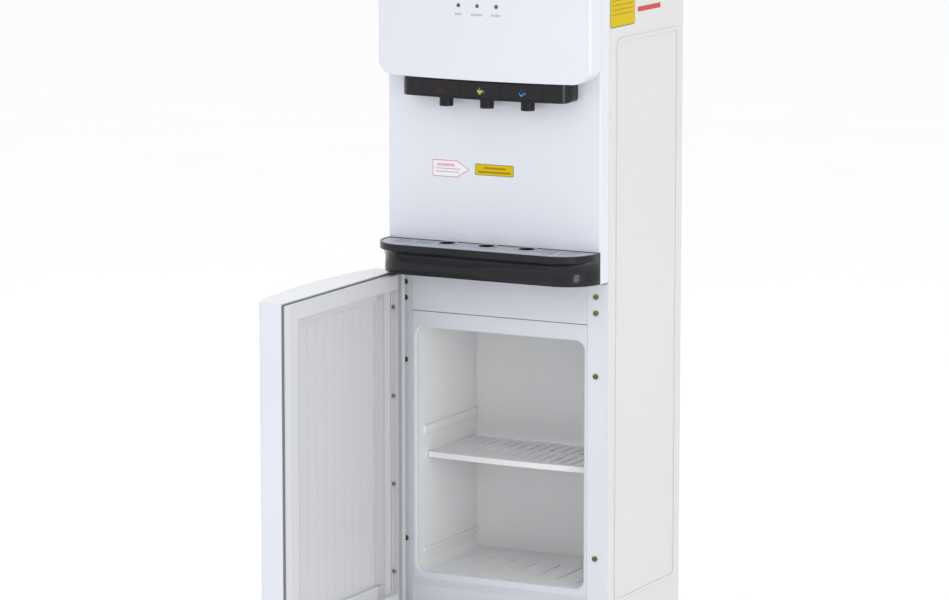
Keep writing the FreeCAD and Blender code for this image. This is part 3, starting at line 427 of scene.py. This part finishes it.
def cup_patches(x, z, color):
    """A generic cup: a half-round bowl, a handle ring and a wisp above it."""
    bowl_radius, bowl_top, foot_half = 3.6, 0.6, 1.8
    bowl = outline_half_disc(x, z + bowl_top, bowl_radius)
    rim = outline_rectangle(x - bowl_radius, z + bowl_top, x + bowl_radius, z + 1.5)
    foot = outline_rectangle(x - foot_half, z - 3.9, x + foot_half, z - 3.1)
    patches = [(bowl, color, 0), (rim, color, 0), (foot, color, 0)]
    inner, outer = 1.1, 1.8
    handle_x, handle_z = x + 3.9, z - 0.4
    first, turn, parts = -80, 20, 8
    for step in range(parts):
        a0, a1 = (math.radians(first + turn * (step + k)) for k in (0, 1))
        ring = []
        for radius, angle in ((inner, a0), (outer, a0), (outer, a1), (inner, a1)):
            ring.append(
                (handle_x + radius * math.cos(angle), handle_z + radius * math.sin(angle))
            )
        patches.append((ring, color, 0))
    wisp = [(x - 1.2, z + 2.3), (x - 0.3, z + 2.3), (x + 0.2, z + 4.6), (x - 0.7, z + 4.6)]
    patches.append((wisp, color, 0))
    return patches


def make_key_icons(inks):
    """Coloured cups printed on the three keys."""
    for word, color in (("hot", "icon_red"), ("normal", "icon_green"), ("cold", "icon_blue")):
        low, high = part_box(f"key_{word}")
        x = (low.x + high.x) / 2 / MM
        z = (low.z + high.z) / 2 / MM - 1.5
        face = Face(f"key_{word}", (0, 1, 0))
        print_piece(
            f"cup_icon_{word}", f"key_{word}", face, (1, 0, 0),
            cup_patches(x, z, inks[color]),
        )


def make_indicator_marks(inks):
    """Short plain dashes under the three indicator windows."""
    low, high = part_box("indicator_lenses")
    middle = (low.z + high.z) / 2 / MM
    bottom, top = middle - 12.6, middle - 9.8
    half_pitch, filled = 1.6, 0.7
    face = Face("upper_fascia", (0, 1, 0))
    for name, x, half in (("left", -27, 5), ("middle", 0, 8.5), ("right", 27, 6.5)):
        patches = []
        count = round(half / half_pitch)
        pitch = 2 * half / count
        for step in range(count):
            x0 = x - half + pitch * step
            dash = outline_rectangle(x0, bottom, x0 + pitch * filled, top)
            patches.append((dash, inks["soft_grey"], 0))
        print_piece(
            f"indicator_mark_{name}", "cabinet", face, (1, 0, 0), patches
        )


def make_drain_hole_shade_sleeves(material):
    """Matt black sleeves on the walls of the three drain holes of the tray's grid: painted
    shade that makes the holes read dark.
    """
    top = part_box("drip_grid")[1].z
    pitch, y = 57.5 * MM, -153 * MM
    outer, inner, deep = 10.9 * MM, 10.0 * MM, 3.4 * MM
    sides = 48
    profile = ((outer, top - deep), (outer, top), (inner, top), (inner, top - deep))
    # painted shade: a black lining on the hole walls makes the holes read dark
    build = bmesh.new()
    for place in (-1, 0, 1):
        x = place * pitch
        loops = []
        for side in range(sides):
            angle = 2 * math.pi * side / sides
            loop = []
            for r, z in profile:
                spot = (x + r * math.cos(angle), y + r * math.sin(angle), z)
                loop.append(build.verts.new(spot))
            loops.append(loop)
        for loop, after in zip(loops, loops[1:] + loops[:1]):
            for i in range(len(profile)):
                j = (i + 1) % len(profile)
                build.faces.new((loop[i], after[i], after[j], loop[j]))
    bmesh.ops.recalc_face_normals(build, faces=build.faces)
    piece = add_mesh("drain_hole_shade_sleeves", build, [material])
    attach(piece, "grid")


def make_inks():
    """The colours of the printed pieces."""
    return {
        "label_white": ink("label_white", (0.80, 0.77, 0.81)),
        "pale_red": ink("pale_red", (0.55, 0.30, 0.31)),
        "soft_red": ink("soft_red", (0.66, 0.42, 0.44)),
        "soft_grey": ink("soft_grey", (0.42, 0.42, 0.47)),
        "label_grey": ink("label_grey", (0.24, 0.26, 0.16)),
        "label_yellow": ink("label_yellow", (0.62, 0.45, 0.0)),
        "label_ochre": ink("label_ochre", (0.34, 0.24, 0.01)),
        "label_brown": ink("label_brown", (0.30, 0.20, 0.02)),
        "label_dark": ink("label_dark", (0.16, 0.17, 0.08)),
        "label_red": ink("label_red", (0.52, 0.08, 0.06)),
        "icon_red": ink("icon_red", (0.11, 0.02, 0.025)),
        "icon_green": ink("icon_green", (0.38, 0.42, 0.09)),
        "icon_blue": ink("icon_blue", (0.07, 0.25, 0.50)),
    }


# ---- stage ----------------------------------------------------------------------------


def make_stage():
    """A pale floor, running out to a pale horizon."""
    build = bmesh.new()
    reach = 30
    corners = [build.verts.new((x, y, 0)) for x, y in ((-1, -1), (1, -1), (1, 1), (-1, 1))]
    for corner in corners:
        corner.co *= reach
    build.faces.new(corners)
    look = Look("floor_pale", (0.97,) * 3, 0.9)
    look.shade(3, (0.965,) * 3, (0.975,) * 3)
    floor = add_mesh("floor", build, [look.material])


def area_light(name, place, aim, size, power, color=(1, 1, 1)):
    """A rectangular lamp at a place, turned to its aim."""
    light = bpy.data.lights.new(name, "AREA")
    light.shape = "RECTANGLE"
    light.size, light.size_y = size
    light.energy = power
    light.color = color
    lamp = add_object(name, light)
    lamp.location = place
    lamp.rotation_euler = (Vector(aim) - Vector(place)).to_track_quat("-Z", "Y").to_euler()


def make_lights():
    """A white surround, with four soft lamps for the shape."""
    scene = bpy.context.scene
    scene.view_settings.view_transform = "Standard"
    scene.view_settings.look = "None"
    world = bpy.data.worlds.new("studio")
    scene.world = world
    world.use_nodes = True
    background = world.node_tree.nodes["Background"]
    background.inputs["Color"].default_value = (1, 1, 1, 1)
    background.inputs["Strength"].default_value = 1.0
    middle = (0, 0, 0.6)
    cool, warm = (0.96, 0.98, 1.0), (1.0, 0.99, 0.98)
    area_light("key", (-1.6, -3.2, 2.6), middle, size=(1.6, 2.0), power=12, color=cool)
    area_light("fill", (3.6, -1.4, 1.7), middle, size=(1.8, 2.4), power=9, color=warm)
    area_light("low_side", (2.9, -2.2, 0.9), (0, -0.1, 0.3), size=(0.9, 1.2), power=17)
    area_light("top", (0.0, -0.4, 3.4), middle, size=(2.6, 2.6), power=8)


def make_camera():
    """A long lens, turned to the right side and tipped down a little."""
    azimuth = math.radians(27.29)
    elevation = math.radians(9.48)
    distance = 5.63
    aim = Vector((-0.0273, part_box("mid_panel")[0].y, 0.525))
    back = Vector(
        (
            math.sin(azimuth) * math.cos(elevation),
            -math.cos(azimuth) * math.cos(elevation),
            math.sin(elevation),
        )
    )
    data = bpy.data.cameras.new("camera")
    data.sensor_width = 36
    data.lens = 164.5
    data.clip_end = 100
    camera = add_object("camera", data)
    camera.location = aim + back * distance
    camera.rotation_euler = back.to_track_quat("Z", "Y").to_euler()
    bpy.context.scene.camera = camera


make_camera()
make_lights()
make_stage()
finishes = make_looks()
dress_frame(finishes)
make_drain_hole_shade_sleeves(finishes["black_plastic"])
all_inks = make_inks()
make_front_labels(all_inks)
make_side_labels(all_inks)
make_key_icons(all_inks)
make_indicator_marks(all_inks)
